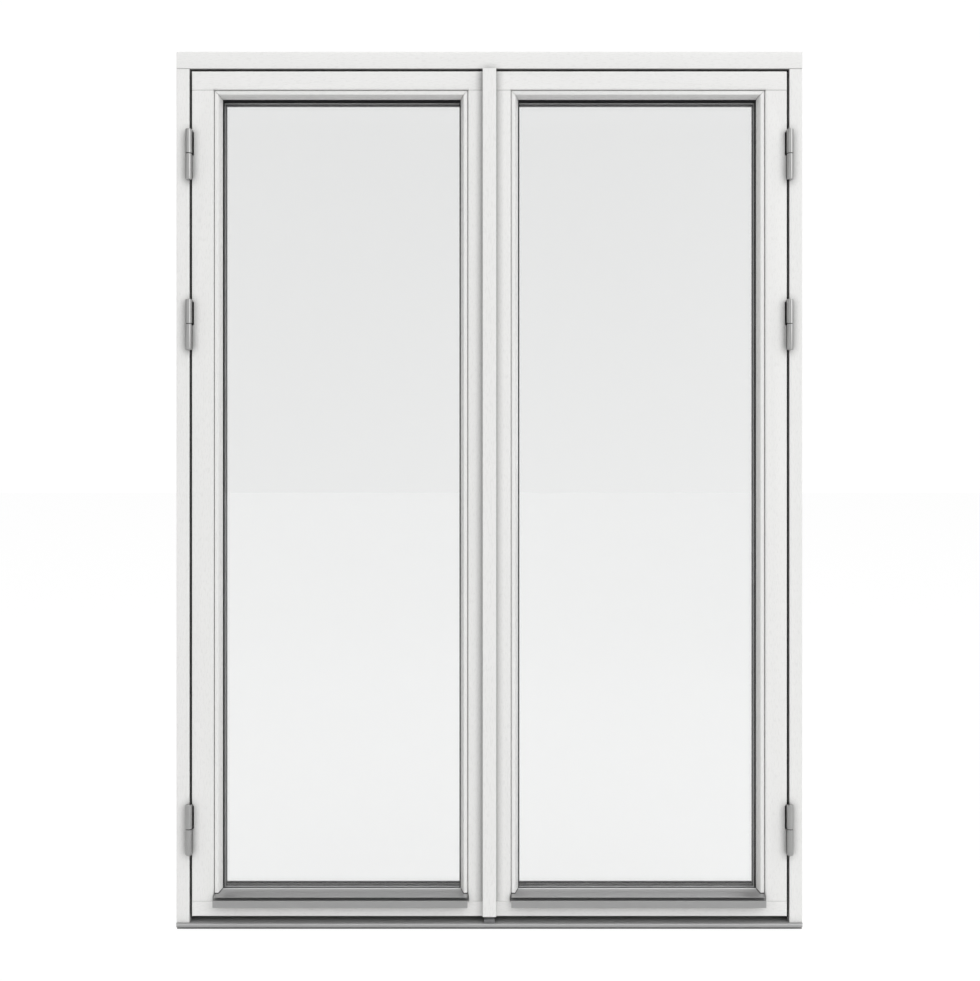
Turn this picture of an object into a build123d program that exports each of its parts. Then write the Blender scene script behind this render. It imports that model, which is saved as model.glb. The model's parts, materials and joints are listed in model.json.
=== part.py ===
from build123d import *
import os
from math import atan, degrees

# A pair of glazed terrace doors in their frame: two outward-opening timber leaves on lift-off
# hinges, an astragal on the right leaf, triple glazing behind timber beads, an aluminium
# weather bar under each glass and an aluminium cover on the threshold.
# Millimetres. X runs to the right seen from outside, Y from outside to inside, Z up.
# The origin is on the underside of the threshold, at the middle of its length and depth.
# The right leaf is the active one. What both leaves share is made once and mirrored.

os.makedirs("parts", exist_ok=True)

# Frame
frame_width = 1490.0
frame_height = 2090.0
frame_depth = 115.0
jamb_face = 31.5
head_face = 41.0
stop_height = 13.0
edge_radius = 2.0
fixing_hole_radius = 7.0
fixing_hole_inset = 47.5
fixing_heights = (120.0, 600.0)
fixing_drops = (120.0, 490.0)

# Threshold and its cover
threshold_height = 40.0
threshold_set_back = 7.5
cover_height = 16.6
cover_slope = 0.13
cover_thickness = 2.0
nose_reach = 6.0
nose_lip = 8.0
nose_corner = 5.0

# Leaves
leaf_thickness = 80.0
side_gap = 5.0
top_gap = 5.5
meeting_gap = 8.0
bottom_gap = 15.4
hinge_stile_face = 53.0
meeting_stile_face = 47.5
top_rail_face = 45.3
bottom_rail_face = 36.0
arris = 3.0
leaf_edge_radius = 2.5

# Glazing
lip_reach = 17.5
bottom_lip = 28.0
rebate_slope = 0.1
bead_clearance = 0.5
bead_recess = 3.0
bead_flat = 9.5
bead_bevel_depth = 18.0
bead_lip = 1.5
gasket_thickness = 2.0
gasket_show = 1.0
gasket_width = 12.0
pane_thickness = 4.0
cavity = 16.0
glass_clearance = 4.0
glass_head_gap = 7.0
glass_lift = 9.2
spacer_width = 13.0
sealant_depth = 3.0
block_length = 100.0

# Weather bar
bar_wall = 1.8
bar_reach = 20.0
bar_nose_height = 16.5
bar_nose_rise = 6.5
bar_ledge = 2.0
bar_slope_run = 28.0
bar_slope_drop = 11.2
bar_channel = 9.5
bar_overhang = 6.0
bar_lip_height = 25.5
bar_end_gap = 0.5
bead_end_gap = 1.5

# Astragal and the block under it
astragal_width = 33.0
astragal_depth = 15.0
astragal_overrun = 3.0
astragal_foot = 2.5
astragal_seal_gap = 3.0
seal_width = 6.0
air = 0.3
centre_block_width = 25.0
centre_block_depth = 36.0
centre_block_gap = 6.0

# Seal between frame and leaves
seal_gap = 4.0
seal_inset = 1.0

# Hinges
hinge_drops = (204.0, 608.0)
low_hinge_height = 242.0
hinge_stand_off = 10.0
barrel_radius = 7.5
upper_knuckle = 57.0
lower_knuckle = 61.0
washer_thickness = 2.0
washer_radius = 6.0
pin_radius = 4.5
pin_clearance = 0.05
pin_reach = 48.0
flag_thickness = 2.5
flag_depth = 35.0
knuckle_end_chamfer = 1.5
flag_end_gap = 1.0
relief_width = 2.5
relief_depth = 15.0
relief_drop = 4.0

# Countersunk screws
screw_radius = 2.0
screw_length = 25.0
screw_head_radius = 4.0
screw_sides = 8
flag_screw_pitch = 36.0
flag_screw_depth = 25.0

# Espagnolette in the active leaf, all about one line in the leaf's thickness
lock_line = 2.0
handle_height = 1046.0
backset = 25.0
faceplate_width = 20.0
faceplate_thickness = 3.0
faceplate_end_gap = 12.0
lock_groove_width = 17.0
lock_groove_depth = 15.0
case_height = 180.0
case_width = 37.0
case_thickness = 15.0
hub_radius = 8.0
hub_clearance = 0.06
spindle_size = 8.0
rod_travel = 22.0
rod_end_radius = 5.0
rod_end_length = 120.0
rod_offset = 9.5
rod_bar_width = 12.0
rod_bar_thickness = 4.0
rod_engagement = 34.0
rod_set_in = 2.0
bolt_height = 20.0
bolt_thickness = 10.0
bolt_length = 34.0
bolt_above_hub = 30.0

# Handle
rose_width = 32.0
rose_height = 70.0
rose_thickness = 8.5
lever_radius = 8.5
lever_length = 118.0
lever_stand_off = 42.0
lever_bend = 14.0
spindle_socket = 22.0

# Keeps and flush bolts
keep_length = 74.0
keep_width = 20.0
keep_thickness = 3.0
keep_hole_radius = 6.0
keep_hole_depth = 20.0
keep_screw_pitch = 54.0
strike_height = 90.0
strike_thickness = 2.5
strike_depth = 18.0
flush_plate_height = 220.0
flush_bolt_length = 150.0
thumb_height = 14.0
thumb_width = 6.0
flush_clearance = 0.3

# Places that follow from the sizes above
front = -frame_depth / 2
back = frame_depth / 2
half_width = frame_width / 2
rebate_x = half_width - jamb_face
stop_x = rebate_x - stop_height
rebate_z = frame_height - head_face
stop_z = rebate_z - stop_height
leaf_back = front + leaf_thickness
stop_y = leaf_back + seal_gap
leaf_outer = rebate_x - side_gap
leaf_inner = meeting_gap / 2
leaf_top = rebate_z - top_gap
leaf_bottom = cover_height + bottom_gap
wall_hinge = leaf_outer - hinge_stile_face
wall_meeting = leaf_inner + meeting_stile_face
wall_top = leaf_top - top_rail_face
wall_bottom = leaf_bottom + bottom_rail_face
sight_hinge = wall_hinge - lip_reach
sight_meeting = wall_meeting + lip_reach
sight_top = wall_top - lip_reach
sight_bottom = wall_bottom + bottom_lip
bead_front = front + bead_recess
bead_back = bead_front + bead_bevel_depth + bead_lip
glass_front = bead_back + gasket_thickness
glass_back = glass_front + 3 * pane_thickness + 2 * cavity
lip_front = glass_back + gasket_thickness
glass_low = wall_bottom + glass_lift
glass_high = wall_top - glass_head_gap
glass_left = wall_meeting + glass_clearance
glass_right = wall_hinge - glass_clearance
bar_lip_top = wall_bottom + bar_lip_height
bar_slope_top = bar_lip_top - bar_wall
bar_slope_start = bead_back - bar_ledge - 1.0
bar_slope_end = bar_slope_start - bar_slope_run
bar_slope_low = bar_slope_top - bar_slope_drop
bar_incline = bar_slope_drop / bar_slope_run
hinge_x = rebate_x
hinge_heights = (*(rebate_z - drop for drop in hinge_drops), low_hinge_height)
all_fixing_heights = (*fixing_heights, *(frame_height - drop for drop in fixing_drops))
hinge_y = front - hinge_stand_off
rod_x = leaf_inner + rod_offset
hub_x = leaf_inner + backset
case_front = leaf_inner + faceplate_thickness + air
case_back = case_front + case_width
bolt_low = handle_height + bolt_above_hub - bolt_height / 2
bolt_high = handle_height + bolt_above_hub + bolt_height / 2
rose_front = leaf_back
lever_base = leaf_back + rose_thickness + air


def cover_top(y):
    """Height of the threshold cover's upper face at depth y."""
    return cover_height + cover_slope * (y - front)


def platform(y):
    """Height of the bottom rail's drained glazing rebate at depth y."""
    return wall_bottom + rebate_slope * (y - front)


def write(piece, node):
    """Label a finished piece and write it as one STEP file."""
    piece.part.label = node
    export_step(piece.part, f"parts/{node}.step")


def write_pair(piece, name):
    """Write the right leaf's piece and its mirror image in the left leaf."""
    write(piece, f"active_{name}")
    with BuildPart() as mirrored:
        mirror(piece.part, about=Plane.YZ)
    write(mirrored, f"passive_{name}")


def cut_block(x, y, z):
    """Cut a rectangular pocket, given as three ranges, out of the part in hand."""
    with Locations(((x[0] + x[1]) / 2, (y[0] + y[1]) / 2, (z[0] + z[1]) / 2)):
        Box(abs(x[1] - x[0]), abs(y[1] - y[0]), abs(z[1] - z[0]), mode=Mode.SUBTRACT)


# Profiles, as corner points in the plane that they are extruded from
head_corners = [
    (front, rebate_z),
    (stop_y, rebate_z),
    (stop_y, stop_z),
    (back, stop_z),
    (back, frame_height),
    (front, frame_height),
]
jamb_corners = [
    (rebate_x, front),
    (half_width, front),
    (half_width, back),
    (stop_x, back),
    (stop_x, stop_y),
    (rebate_x, stop_y),
]
threshold_front = front + threshold_set_back
threshold_corners = [
    (threshold_front, 0),
    (threshold_front, cover_top(threshold_front) - cover_thickness),
    (stop_y, cover_top(stop_y) - cover_thickness),
    (stop_y, threshold_height),
    (back, threshold_height),
    (back, 0),
]
sill_corners = [
    (front - nose_reach, -1),
    (front - nose_reach, cover_top(front - nose_reach)),
    (stop_y, cover_top(stop_y)),
    (stop_y, threshold_height),
    (back + 1, threshold_height),
    (back + 1, -1),
]
top_rail_corners = [
    (front, leaf_top),
    (front, wall_top),
    (lip_front, wall_top),
    (lip_front, sight_top),
    (leaf_back, sight_top),
    (leaf_back, leaf_top),
]
bottom_rail_corners = [
    (front, leaf_bottom),
    (front, wall_bottom),
    (lip_front, platform(lip_front)),
    (lip_front, sight_bottom),
    (leaf_back, sight_bottom),
    (leaf_back, leaf_bottom),
]

# Sharp-edged bodies that coped ends are cut with
with BuildPart() as head_cope:
    with BuildSketch(Plane.YZ.offset(-half_width)):
        with BuildLine():
            Polyline(*head_corners, close=True)
        make_face()
    extrude(amount=frame_width)

with BuildPart() as sill_cope:
    with BuildSketch(Plane.YZ.offset(-half_width)):
        with BuildLine():
            Polyline(*sill_corners, close=True)
        make_face()
    extrude(amount=frame_width)

with BuildPart() as rail_cope:
    with BuildSketch(Plane.YZ.offset(leaf_inner)):
        with BuildLine():
            Polyline(*top_rail_corners, close=True)
        make_face()
        with BuildLine():
            Polyline(*bottom_rail_corners, close=True)
        make_face()
    extrude(amount=leaf_outer - leaf_inner)

# The leaf's outline with rounded edges, and the arris round its glazed opening
with BuildPart() as leaf_blank:
    with BuildSketch(Plane.XZ.offset(-leaf_back)):
        with Locations(((leaf_inner + leaf_outer) / 2, (leaf_bottom + leaf_top) / 2)):
            Rectangle(leaf_outer - leaf_inner, leaf_top - leaf_bottom)
    extrude(amount=leaf_thickness)
    fillet(leaf_blank.faces().sort_by(Axis.Y)[0].edges(), radius=leaf_edge_radius)
    fillet(leaf_blank.faces().sort_by(Axis.Y)[-1].edges(), radius=leaf_edge_radius)

with BuildPart() as opening_arris:
    with BuildSketch(Plane.XZ.offset(-front - arris)):
        with Locations(((wall_meeting + wall_hinge) / 2, (wall_bottom + wall_top) / 2)):
            Rectangle(wall_hinge - wall_meeting, wall_top - wall_bottom)
    extrude(amount=arris, taper=-45)

# Countersunk screw along +Z from its head's face, drawn with even sides and no drive
with BuildPart() as screw:
    with BuildSketch(Plane.XY):
        RegularPolygon(screw_head_radius, screw_sides, major_radius=False)
    extrude(amount=screw_head_radius - screw_radius, taper=45)
    with BuildSketch(Plane.XY):
        RegularPolygon(screw_radius, screw_sides, major_radius=False)
    extrude(amount=screw_length)

keep_screw_places = [
    Location((x, lock_line, rebate_z)) for x in (-keep_screw_pitch / 2, keep_screw_pitch / 2)
]


def flag_screw_places(x, direction, middle):
    """Places of the screws in one hinge flag with its face at x, driven along direction."""
    return [
        Location((x, front + flag_screw_depth, middle + rise), (0, 90 * direction, 0))
        for rise in (-flag_screw_pitch / 2, flag_screw_pitch / 2)
    ]


# Frame: the head runs over the jambs, the threshold under them
with BuildPart() as head:
    with BuildSketch(Plane.YZ.offset(-half_width)) as head_section:
        with BuildLine():
            Polyline(*head_corners, close=True)
        make_face()
        front_corners = head_section.vertices().group_by(Axis.X)[0]
        fillet(front_corners, radius=edge_radius)
    extrude(amount=frame_width)
    cut_block(
        (-keep_length / 2, keep_length / 2),
        (lock_line - keep_width / 2, lock_line + keep_width / 2),
        (rebate_z, rebate_z + keep_thickness),
    )
    with BuildSketch(Plane.XY.offset(rebate_z + keep_thickness)):
        with Locations((-rod_x, lock_line), (rod_x, lock_line)):
            Circle(keep_hole_radius)
    extrude(amount=keep_hole_depth, mode=Mode.SUBTRACT)
    with Locations(*keep_screw_places):
        add(screw.part, mode=Mode.SUBTRACT)
write(head, "head")

with BuildPart() as jamb:
    with BuildSketch(Plane.XY) as jamb_section:
        with BuildLine():
            Polyline(*jamb_corners, close=True)
        make_face()
        fillet(jamb_section.vertices().group_by(Axis.Y)[0], radius=edge_radius)
    extrude(amount=frame_height)
    add(head_cope.part, mode=Mode.SUBTRACT)
    add(sill_cope.part, mode=Mode.SUBTRACT)
    for split_z in hinge_heights:
        low = split_z - washer_thickness / 2 - lower_knuckle + flag_end_gap
        high = split_z - washer_thickness / 2 - flag_end_gap
        cut_block(
            (rebate_x - 1, rebate_x + flag_thickness),
            (front - 1, front + flag_depth),
            (low, high),
        )
        with Locations(*flag_screw_places(rebate_x, 1, (low + high) / 2)):
            add(screw.part, mode=Mode.SUBTRACT)
    with Locations(
        *[
            Location((rebate_x - 1, front + fixing_hole_inset, z), (0, 90, 0))
            for z in all_fixing_heights
        ]
    ):
        Cylinder(
            fixing_hole_radius,
            jamb_face + 2,
            align=(Align.CENTER, Align.CENTER, Align.MIN),
            mode=Mode.SUBTRACT,
        )
write(jamb, "jamb_right")
with BuildPart() as jamb_left:
    mirror(jamb.part, about=Plane.YZ)
write(jamb_left, "jamb_left")

with BuildPart() as threshold:
    with BuildSketch(Plane.YZ.offset(-half_width)) as threshold_section:
        with BuildLine():
            Polyline(*threshold_corners, close=True)
        make_face()
        top_corners = threshold_section.vertices().group_by(Axis.Y)[-1]
        fillet(top_corners.sort_by(Axis.X)[-1], radius=2 * edge_radius)
    extrude(amount=frame_width)
    with BuildSketch(Plane.XY.offset(cover_top(lock_line) - keep_hole_depth + keep_thickness)):
        with Locations((-rod_x, lock_line), (rod_x, lock_line)):
            Circle(keep_hole_radius)
    extrude(amount=2 * keep_hole_depth, mode=Mode.SUBTRACT)
write(threshold, "threshold")

with BuildPart() as threshold_cover:
    with BuildSketch(Plane.YZ.offset(-half_width)) as cover_section:
        nose = front - nose_reach
        with BuildLine():
            Polyline(
                (nose, cover_top(nose)),
                (stop_y, cover_top(stop_y)),
                (stop_y, cover_top(stop_y) - cover_thickness),
                (nose + cover_thickness, cover_top(nose + cover_thickness) - cover_thickness),
                (nose + cover_thickness, cover_top(nose) - nose_lip),
                (nose, cover_top(nose) - nose_lip),
                close=True,
            )
        make_face()
        fillet(cover_section.vertices().sort_by_distance((nose, cover_top(nose)))[0], 1.5)
    extrude(amount=frame_width)
    with BuildSketch(Plane.XY.offset(-1)) as corner_cut:
        with Locations((0, (nose + back) / 2)):
            Rectangle(frame_width, back - nose)
        fillet(corner_cut.vertices().group_by(Axis.Y)[0], radius=nose_corner)
    extrude(amount=threshold_height, mode=Mode.INTERSECT)
    with BuildSketch(Plane.XY):
        with Locations((-rod_x, lock_line), (rod_x, lock_line)):
            Circle(keep_hole_radius)
    extrude(amount=threshold_height, mode=Mode.SUBTRACT)
write(threshold_cover, "threshold_cover")

with BuildPart() as centre_block:
    with BuildSketch(Plane.YZ.offset(-centre_block_width / 2)):
        with BuildLine():
            Polyline(
                (front, cover_top(front)),
                (front + centre_block_depth, cover_top(front + centre_block_depth)),
                (front + centre_block_depth, leaf_bottom - centre_block_gap),
                (front + 2, leaf_bottom - centre_block_gap),
                (front, leaf_bottom - centre_block_gap - 2),
                close=True,
            )
        make_face()
    extrude(amount=centre_block_width)
write(centre_block, "centre_block")

with BuildPart() as frame_seal:
    with BuildSketch(Plane.XZ.offset(-stop_y)) as seal_ring:
        seal_low = leaf_bottom + seal_inset
        seal_high = leaf_top - seal_inset
        with Locations((0, (seal_low + seal_high) / 2)):
            Rectangle(2 * (leaf_outer - seal_inset), seal_high - seal_low)
        inner_low = threshold_height - seal_inset
        inner_high = stop_z + seal_inset
        with Locations((0, (inner_low + inner_high) / 2)):
            Rectangle(2 * (stop_x + seal_inset), inner_high - inner_low, mode=Mode.SUBTRACT)
    extrude(amount=seal_gap - air)
write(frame_seal, "frame_seal")

# Keeps for the shoot bolts: one let into the head, one lying on the sloped cover
with BuildPart() as keep_top:
    with BuildSketch(Plane.XY.offset(rebate_z)) as keep_outline:
        with Locations((0, lock_line)):
            Rectangle(keep_length, keep_width)
        with Locations((-rod_x, lock_line), (rod_x, lock_line)):
            Circle(keep_hole_radius, mode=Mode.SUBTRACT)
    extrude(amount=keep_thickness)
    with Locations(*keep_screw_places):
        add(screw.part, mode=Mode.SUBTRACT)
write(keep_top, "keep_top")

with BuildPart() as keep_bottom:
    with BuildSketch(Plane.YZ.offset(-keep_length / 2)):
        near, far = lock_line - keep_width / 2, lock_line + keep_width / 2
        with BuildLine():
            Polyline(
                (near, cover_top(near)),
                (far, cover_top(far)),
                (far, cover_top(far) + keep_thickness),
                (near, cover_top(near) + keep_thickness),
                close=True,
            )
        make_face()
    extrude(amount=keep_length)
    fillet(keep_bottom.edges().filter_by(Axis.Z), radius=3)
    with BuildSketch(Plane.XY):
        with Locations((-rod_x, lock_line), (rod_x, lock_line)):
            Circle(keep_hole_radius)
    extrude(amount=threshold_height, mode=Mode.SUBTRACT)
write(keep_bottom, "keep_bottom")

# Hinges: the frame half carries the pin, the leaf half lifts off it
with BuildPart() as socket:
    base = -washer_thickness / 2 - lower_knuckle
    with BuildSketch(Plane.XY.offset(base)):
        with Locations((hinge_x, hinge_y)):
            Circle(barrel_radius)
    extrude(amount=lower_knuckle)
    chamfer(socket.edges().sort_by(Axis.Z)[0], length=knuckle_end_chamfer)
    with BuildSketch(Plane.XY.offset(base + flag_end_gap)):
        with Locations((rebate_x, hinge_y)):
            Rectangle(
                flag_thickness,
                hinge_stand_off + flag_depth,
                align=(Align.MIN, Align.MIN),
            )
    extrude(amount=lower_knuckle - 2 * flag_end_gap)
    with BuildSketch(Plane.XY.offset(base)):
        with Locations((hinge_x, hinge_y)):
            Circle(pin_radius)
    extrude(amount=lower_knuckle, mode=Mode.SUBTRACT)
    with Locations(*flag_screw_places(rebate_x, 1, base + lower_knuckle / 2)):
        add(screw.part, mode=Mode.SUBTRACT)

with BuildPart() as knuckle:
    base = washer_thickness / 2
    with BuildSketch(Plane.XY.offset(base)):
        with Locations((hinge_x, hinge_y)):
            Circle(barrel_radius)
    extrude(amount=upper_knuckle)
    chamfer(knuckle.edges().sort_by(Axis.Z)[-1], length=knuckle_end_chamfer / 2)
    with BuildSketch(Plane.XY.offset(base + flag_end_gap)):
        with Locations((leaf_outer, hinge_y)):
            Rectangle(
                flag_thickness,
                hinge_stand_off + flag_depth,
                align=(Align.MAX, Align.MIN),
            )
    extrude(amount=upper_knuckle - 2 * flag_end_gap)
    with BuildSketch(Plane.XY.offset(base)):
        with Locations((hinge_x, hinge_y)):
            Circle(pin_radius + pin_clearance)
    extrude(amount=pin_reach + 2, mode=Mode.SUBTRACT)
    with Locations(*flag_screw_places(leaf_outer, -1, base + upper_knuckle / 2)):
        add(screw.part, mode=Mode.SUBTRACT)

with BuildPart() as pin:
    with BuildSketch(Plane.XY.offset(-washer_thickness / 2 - lower_knuckle)):
        with Locations((hinge_x, hinge_y)):
            Circle(pin_radius)
    extrude(amount=lower_knuckle + washer_thickness + pin_reach)
    chamfer(pin.edges().sort_by(Axis.Z)[-1], length=1)

with BuildPart() as washer:
    with BuildSketch(Plane.XY.offset(-washer_thickness / 2)):
        with Locations((hinge_x, hinge_y)):
            Circle(washer_radius)
            Circle(pin_radius, mode=Mode.SUBTRACT)
    extrude(amount=washer_thickness)


def at_hinges(piece):
    """The piece repeated at the three hinge heights of the right side."""
    with BuildPart() as row:
        with Locations(*[(0, 0, z) for z in hinge_heights]):
            add(piece.part)
    return row


def both_sides(piece):
    """The piece and its mirror image in one node."""
    with BuildPart() as pair:
        add(piece.part)
        mirror(piece.part, about=Plane.YZ)
    return pair


sockets = at_hinges(socket)
write(sockets, "hinge_sockets_right")
with BuildPart() as sockets_left:
    mirror(sockets.part, about=Plane.YZ)
write(sockets_left, "hinge_sockets_left")
write_pair(at_hinges(knuckle), "hinge_knuckles")
pins = both_sides(at_hinges(pin))
write(pins, "hinge_pins")
washers = both_sides(at_hinges(washer))
write(washers, "hinge_washers")

with BuildPart() as jamb_screws:
    for split_z in hinge_heights:
        middle = split_z - washer_thickness / 2 - lower_knuckle / 2
        with Locations(*flag_screw_places(rebate_x, 1, middle)):
            add(screw.part)
with BuildPart() as frame_screws:
    add(jamb_screws.part)
    mirror(jamb_screws.part, about=Plane.YZ)
    with Locations(*keep_screw_places):
        add(screw.part)
write(frame_screws, "frame_screws")

with BuildPart() as stile_screws:
    for split_z in hinge_heights:
        middle = split_z + washer_thickness / 2 + upper_knuckle / 2
        with Locations(*flag_screw_places(leaf_outer, -1, middle)):
            add(screw.part)
write_pair(stile_screws, "hinge_screws")

# Leaf timber: full-width rails with the stiles coped between them
with BuildPart() as hinge_stile:
    with BuildSketch(Plane.XY.offset(leaf_bottom)):
        with BuildLine():
            Polyline(
                (leaf_outer, front),
                (wall_hinge, front),
                (wall_hinge, lip_front),
                (sight_hinge, lip_front),
                (sight_hinge, leaf_back),
                (leaf_outer, leaf_back),
                close=True,
            )
        make_face()
    extrude(amount=leaf_top - leaf_bottom)
    add(rail_cope.part, mode=Mode.SUBTRACT)
    add(leaf_blank.part, mode=Mode.INTERSECT)
    add(opening_arris.part, mode=Mode.SUBTRACT)
    for split_z in hinge_heights:
        low = split_z + washer_thickness / 2 + flag_end_gap
        high = split_z + washer_thickness / 2 + upper_knuckle - flag_end_gap
        cut_block(
            (leaf_outer - flag_thickness, leaf_outer + 1),
            (front - 1, front + flag_depth),
            (low, high),
        )
        cut_block(
            (leaf_outer - flag_thickness - relief_width, leaf_outer + 1),
            (front - 1, front + relief_depth),
            (low - relief_drop, high - relief_drop),
        )
        with Locations(*flag_screw_places(leaf_outer, -1, (low + high) / 2)):
            add(screw.part, mode=Mode.SUBTRACT)
write_pair(hinge_stile, "hinge_stile")


def meeting_stile_blank():
    """The meeting stile before the lock or the flush bolts are let into its edge."""
    with BuildPart() as stile:
        with BuildSketch(Plane.XY.offset(leaf_bottom)):
            with BuildLine():
                Polyline(
                    (leaf_inner, front),
                    (wall_meeting, front),
                    (wall_meeting, lip_front),
                    (sight_meeting, lip_front),
                    (sight_meeting, leaf_back),
                    (leaf_inner, leaf_back),
                    close=True,
                )
            make_face()
        extrude(amount=leaf_top - leaf_bottom)
        add(rail_cope.part, mode=Mode.SUBTRACT)
        add(leaf_blank.part, mode=Mode.INTERSECT)
        add(opening_arris.part, mode=Mode.SUBTRACT)
    return stile


def rail(corners):
    """A full-width rail from its section, with the leaf's rounded edges."""
    with BuildPart() as member:
        with BuildSketch(Plane.YZ.offset(leaf_inner)):
            with BuildLine():
                Polyline(*corners, close=True)
            make_face()
        extrude(amount=leaf_outer - leaf_inner)
        add(leaf_blank.part, mode=Mode.INTERSECT)
        add(opening_arris.part, mode=Mode.SUBTRACT)
    return member


def lock_groove():
    """Cut the espagnolette's groove and faceplate rebate along the active meeting edge."""
    full = (leaf_bottom - 1, leaf_top + 1)
    half_groove = lock_groove_width / 2
    half_plate = faceplate_width / 2
    cut_block(
        (leaf_inner - 1, leaf_inner + lock_groove_depth),
        (lock_line - half_groove, lock_line + half_groove),
        full,
    )
    cut_block(
        (leaf_inner - 1, leaf_inner + faceplate_thickness),
        (lock_line - half_plate, lock_line + half_plate),
        full,
    )


def flush_bolt_ways():
    """Cut the passive leaf's bolt bores, thumb slots and plate rebates, top and bottom."""
    reach = flush_bolt_length + rod_set_in + thumb_height
    half_thumb = thumb_width / 2 + flush_clearance
    for end, inward in ((leaf_top, -1), (leaf_bottom, 1)):
        root = end + inward * reach
        with Locations((-rod_x, lock_line, (end + root) / 2)):
            Cylinder(rod_end_radius + flush_clearance, reach + 2, mode=Mode.SUBTRACT)
        thumb_end = end + inward * (flush_bolt_length - thumb_height - rod_travel)
        cut_block(
            (-rod_x, -leaf_inner + 1),
            (lock_line - half_thumb, lock_line + half_thumb),
            (root, thumb_end),
        )
        plate_middle = end + inward * flush_bolt_length
        cut_block(
            (-leaf_inner - strike_thickness, -leaf_inner + 1),
            (lock_line - keep_width / 2, lock_line + keep_width / 2),
            (plate_middle - flush_plate_height / 2, plate_middle + flush_plate_height / 2),
        )


with BuildPart() as active_meeting_stile:
    add(meeting_stile_blank().part)
    lock_groove()
    cut_block(
        (case_front, case_back + 0.5),
        (lock_line - case_thickness / 2 - 0.5, lock_line + case_thickness / 2 + 0.5),
        (handle_height - case_height / 2 - 0.5, handle_height + case_height / 2 + 0.5),
    )
    with BuildSketch(Plane.XZ.offset(-leaf_back - 1)):
        with Locations((hub_x, handle_height)):
            Circle(spindle_size * 0.8)
    extrude(amount=leaf_back - lock_line, mode=Mode.SUBTRACT)
write(active_meeting_stile, "active_meeting_stile")

with BuildPart() as passive_meeting_stile:
    mirror(meeting_stile_blank().part, about=Plane.YZ)
    flush_bolt_ways()
    cut_block(
        (-leaf_inner - strike_thickness, -leaf_inner + 1),
        (lock_line - keep_width / 2, lock_line + keep_width / 2),
        (
            (bolt_low + bolt_high) / 2 - strike_height / 2,
            (bolt_low + bolt_high) / 2 + strike_height / 2,
        ),
    )
    cut_block(
        (-leaf_inner - strike_depth, -leaf_inner + 1),
        (lock_line - bolt_thickness / 2 - 1, lock_line + bolt_thickness / 2 + 1),
        (bolt_low - 1, bolt_high + 1),
    )
write(passive_meeting_stile, "passive_meeting_stile")

for name, corners in (("top_rail", top_rail_corners), ("bottom_rail", bottom_rail_corners)):
    plain_rail = rail(corners)
    with BuildPart() as active_rail:
        add(plain_rail.part)
        lock_groove()
    write(active_rail, f"active_{name}")
    with BuildPart() as passive_rail:
        mirror(plain_rail.part, about=Plane.YZ)
        flush_bolt_ways()
    write(passive_rail, f"passive_{name}")

# Glazing beads: bevelled strips, mitred at the top and cut to the weather bar's slope below
bead_width = lip_reach - bead_clearance


def bead_corners(wall, direction):
    """Corners of a bead's section, measured from the rebate wall towards the glass."""
    outer = wall + direction * bead_clearance
    bevel = outer + direction * bead_flat
    inner = outer + direction * bead_width
    return [
        (outer, bead_front),
        (bevel, bead_front),
        (inner, bead_back - bead_lip),
        (inner, bead_back),
        (outer, bead_back),
    ]


def side_bead(wall, direction):
    """An upright bead against the rebate wall at x = wall."""
    corners = bead_corners(wall, direction)
    with BuildPart() as bead:
        with BuildSketch(Plane.XY.offset(wall_bottom)) as section:
            with BuildLine():
                Polyline(*corners, close=True)
            make_face()
            fillet(section.vertices().sort_by_distance(corners[0])[0], radius=edge_radius)
            fillet(section.vertices().sort_by_distance(corners[1])[0], radius=edge_radius)
        extrude(amount=wall_top - bead_clearance - wall_bottom)
        mitre = Plane(
            origin=(wall + direction * bead_clearance, 0, wall_top - bead_clearance),
            x_dir=(0, 1, 0),
            z_dir=(direction, 0, 1),
        )
        split(bisect_by=mitre, keep=Keep.BOTTOM)
        foot = Plane(
            origin=(0, bar_slope_start, bar_slope_top + bead_end_gap),
            x_dir=(1, 0, 0),
            z_dir=(0, -bar_incline, 1),
        )
        split(bisect_by=foot, keep=Keep.TOP)
    return bead


write_pair(side_bead(wall_hinge, -1), "bead_hinge_side")
write_pair(side_bead(wall_meeting, 1), "bead_meeting_side")

with BuildPart() as bead_top:
    top_corners = [(y, z) for z, y in bead_corners(wall_top, -1)]
    with BuildSketch(Plane.YZ.offset(wall_meeting + bead_clearance)) as bead_section:
        with BuildLine():
            Polyline(*top_corners, close=True)
        make_face()
        fillet(bead_section.vertices().sort_by_distance(top_corners[0])[0], radius=edge_radius)
        fillet(bead_section.vertices().sort_by_distance(top_corners[1])[0], radius=edge_radius)
    extrude(amount=wall_hinge - wall_meeting - 2 * bead_clearance)
    for wall, direction in ((wall_hinge, -1), (wall_meeting, 1)):
        mitre = Plane(
            origin=(wall + direction * bead_clearance, 0, wall_top - bead_clearance),
            x_dir=(0, 1, 0),
            z_dir=(direction, 0, 1),
        )
        split(bisect_by=mitre, keep=Keep.TOP)
write_pair(bead_top, "bead_top")

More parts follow.
